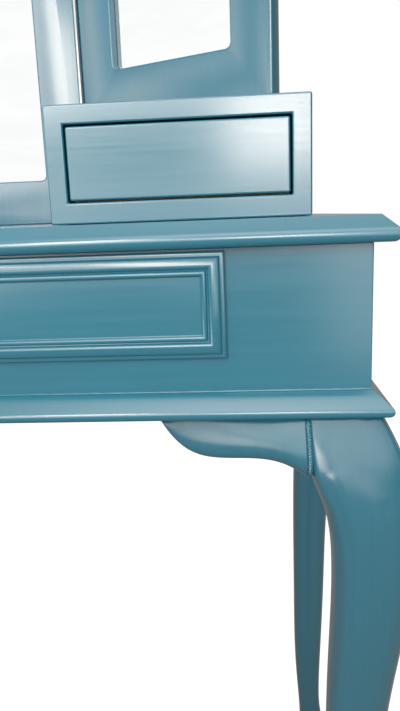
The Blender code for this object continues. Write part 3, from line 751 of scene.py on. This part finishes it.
def seam_bead(name, leg, bracket, outward, material):
    """The lumpy line of filler that was pressed into the joint between a bracket and its leg."""
    low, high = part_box(bracket)
    outward = Vector(outward)
    first_hit = surface_finder([leg, bracket])
    if outward.x:
        seam = Vector((0.0, low.y, 0.0))
        sideways = Vector((0.0, -1.0, 0.0))
    else:
        right = low.x > 0
        seam = Vector((high.x if right else low.x, 0.0, 0.0))
        sideways = Vector((1.0 if right else -1.0, 0.0, 0.0))
    top = high.z - SEAM_DROP
    steps = int(SEAM_LENGTH / SEAM_STEP)
    points = []
    for i in range(steps + 1):
        start = Vector((0.0, 0.0, top - SEAM_LENGTH * i / steps)) + seam + PROBE_START * outward
        hits = []
        for offset in SEAM_PROBES:
            hit = first_hit(start + sideways * offset, -outward)
            if hit is not None and (hit - start).length < PROBE_REACH:
                hits.append(hit.dot(outward))
        if hits:
            reach = min(hits) - SEAM_SINK
            spot = start + sideways * SEAM_SHIFT
            points.append(spot + outward * (reach - spot.dot(outward)))
    shape = tube(points, bead_radius, BEAD_SIDES, sideways)
    add_piece(name, mesh_of(name, shape, SHARP_BOARD), material, "desk")


def paint_line(name, start, stop, outward, material, seed):
    """Paint and filler that settled along the joint above the base moulding."""
    start, stop, outward = Vector(start), Vector(stop), Vector(outward)
    length = (stop - start).length
    steps = int(length / LINE_STEP)
    rings = []
    for i in range(steps + 1):
        part = i / steps
        spot = start.lerp(stop, part)
        wave = 0.0
        for scale, share, layer in LINE_WAVES:
            wave += share * noise.noise(Vector((part * length * scale, seed, layer)))
        size = LINE_SIZE * (1 + LINE_SWING * wave)
        ring = [spot - outward * LINE_SINK - Vector((0, 0, LINE_SINK))]
        for degrees in LINE_ANGLES:
            angle = math.radians(degrees)
            bulge = size * (1 - LINE_HOLLOW * math.sin(2 * angle))
            ring.append(spot + outward * bulge * math.cos(angle) + Vector((0, 0, bulge * math.sin(angle))))
        rings.append(ring)
    add_piece(name, mesh_of(name, loft(rings), SHARP_BOARD), material, "desk")


def level_ring(reaches, height):
    """Points round the z axis at one height, each as far out as its place in reaches says."""
    ring = []
    for k, reach in enumerate(reaches):
        angle = 2 * math.pi * k / len(reaches)
        ring.append(Vector((reach * math.cos(angle), reach * math.sin(angle), height)))
    return ring


def screw_heads(name, material, places, facing):
    """Countersunk cross-head screws, as one mesh, at places on a face that looks toward facing."""
    whole = bmesh.new()
    turn = Vector(facing).to_track_quat("Z", "Y").to_matrix().to_4x4()
    arms = [CROSS_ARM if k % 5 in (0, 1, 4) else CROSS_WAIST for k in range(SCREW_SIDES)]
    for number, place in enumerate(places):
        rows = [level_ring([share * SCREW_RADIUS] * SCREW_SIDES, height) for share, height in SCREW_DOME]
        cross = level_ring([arm * SCREW_RADIUS for arm in arms], CROSS_HEIGHT)
        rows += [cross, [point - Vector((0.0, 0.0, CROSS_DEPTH)) for point in cross]]
        head = loft(rows)
        spin = Matrix.Rotation(SCREW_SPIN * number, 4, "Z")
        head.transform(Matrix.Translation(Vector(place)) @ turn @ spin)
        mesh = bpy.data.meshes.new("head")
        head.to_mesh(mesh)
        head.free()
        whole.from_mesh(mesh)
        bpy.data.meshes.remove(mesh)
    add_piece(name, mesh_of(name, whole, SHARP_SMALL), material, "desk")


def make_finishes():
    """Every finish, by name. The painted and wooden ones have one for each direction of grain."""
    made = {}
    for axis in "xyz":
        made[f"paint_{axis}"] = paint(f"satin_paint_{axis}", axis)
        made[f"wood_{axis}"] = bare_wood(f"bare_wood_{axis}", axis, *PINE)
        made[f"ply_{axis}"] = bare_wood(f"thin_ply_{axis}", axis, *PLY)
    # The legs and brackets get a lighter copy of the paint, which is painted light, darkening toward the
    # floor, which is painted shade.
    made["leg_paint"] = paint("satin_paint_legs_lit_and_shaded", "z", LIT_LEG_PAINT, SHADED_LOW_PAINT)
    made["glass"] = mirror_glass()
    made["steel"] = hinge_steel()
    return made


def dress_frame(finishes):
    """The finishes of the CAD nodes that show as they are."""
    for name, node in NODES.items():
        kind = next((kind for word, kind in CAD_FINISHES if word in name), "paint_z")
        node.data.materials.clear()
        node.data.materials.append(finishes[kind])


def dress_carcass(finishes):
    """The top, the base moulding and the boards of the apron."""
    fine_tabletop(finishes["paint_x"])
    fine_base_moulding(finishes["paint_x"])
    sides, backs = ["apron_left", "apron_right"], ["apron_back", "base_rail_back"]
    soft_boards("desk", finishes["paint_y"], APRON_EASE, sides)
    soft_boards("desk", finishes["paint_x"], APRON_EASE, backs)
    low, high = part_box("apron_drawer_front")
    lap = Vector((DRAWER_LAP - APRON_OVERLAP, 0.0, DRAWER_LAP - APRON_OVERLAP))
    framed_board("apron_front", low + lap, high - lap, finishes["paint_x"], APRON_FRONT_EASE)


def dress_legs(finishes):
    """The legs, the brackets beside the front ones, and the filler between them."""
    for word in ("front_left", "front_right", "back_left", "back_right"):
        smooth_form(f"leg_{word}", finishes["leg_paint"])
    for word, side in (("left", -1), ("right", 1)):
        front, flank, leg = f"knee_bracket_front_{word}", f"knee_bracket_side_{word}", f"leg_front_{word}"
        smooth_form(front, finishes["leg_paint"])
        smooth_form(flank, finishes["leg_paint"])
        seam_bead(f"seam_filler_front_{word}", leg, front, (0, -1, 0), finishes["paint_z"])
        seam_bead(f"seam_filler_side_{word}", leg, flank, (side, 0, 0), finishes["paint_z"])


def add_paint_lines(finishes):
    """The uneven lines over the base moulding, along the front and both sides."""
    low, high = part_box("apron_front")
    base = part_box("base_rail_front")[1].z + BASE_RISE
    start, stop = (low.x, low.y, base), (high.x, low.y, base)
    paint_line("paint_line_front", start, stop, (0, -1, 0), finishes["paint_x"], 1.0)
    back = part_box("apron_right")[1].y
    for word, side in (("left", -1), ("right", 1)):
        x = side * high.x
        start, stop = (x, low.y, base), (x, back, base)
        paint_line(f"paint_line_{word}", start, stop, (side, 0, 0), finishes["paint_y"], 2.0 + side)


def dress_drawers(finishes):
    """The drawers, and the small boxes that hold the upper two."""
    fine_drawer_front(finishes["paint_x"])
    fine_drawer_moulding(finishes["paint_x"])
    for word in ("left", "right"):
        front = f"box_drawer_{word}_front"
        soft_boards(f"box_drawer_{word}", finishes["paint_x"], BOX_FRONT_EASE, [front])
        low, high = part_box(front)
        clear = Vector((BOX_DRAWER_GAP, 0.0, BOX_DRAWER_GAP))
        framed_board(f"box_case_{word}", low - clear, high + clear, finishes["paint_x"], BOX_CASE_EASE)
        soft_boards("desk", finishes["ply_x"], BOX_BACK_EASE, [f"box_back_{word}"])
    for body in ("apron_drawer", "box_drawer_left", "box_drawer_right"):
        sides = [f"{body}_left", f"{body}_right"]
        soft_boards(body, finishes["wood_y"], TRAY_EASE, sides)
        soft_boards(body, finishes["wood_x"], TRAY_EASE, [f"{body}_back"])
        soft_boards(body, finishes["ply_x"], TRAY_BOTTOM_EASE, [f"{body}_bottom"])


def dress_mirrors(finishes):
    """The frames of the fixed mirror and its two wings."""
    fine_mirror("centre_mirror", finishes["paint_z"], "desk")
    fine_mirror("wing_left", finishes["paint_z"], "wing_left")
    fine_mirror("wing_right", finishes["paint_z"], "wing_right")


def add_fixings(finishes):
    """The screws that hold the backs of the small boxes."""
    for word in ("left", "right"):
        low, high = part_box(f"box_back_{word}")
        xs = (low.x + SCREW_MARGIN, (low.x + high.x) / 2, high.x - SCREW_MARGIN)
        places = [(x, high.y, z) for x in xs for z in (low.z + SCREW_MARGIN, high.z - SCREW_MARGIN)]
        screw_heads(f"box_back_screws_{word}", finishes["steel"], places, (0, 1, 0))


aim_camera()
light_studio()
lay_floor()
FINISHES = make_finishes()
dress_frame(FINISHES)
dress_carcass(FINISHES)
dress_legs(FINISHES)
add_paint_lines(FINISHES)
dress_drawers(FINISHES)
dress_mirrors(FINISHES)
add_fixings(FINISHES)
limit_cards()
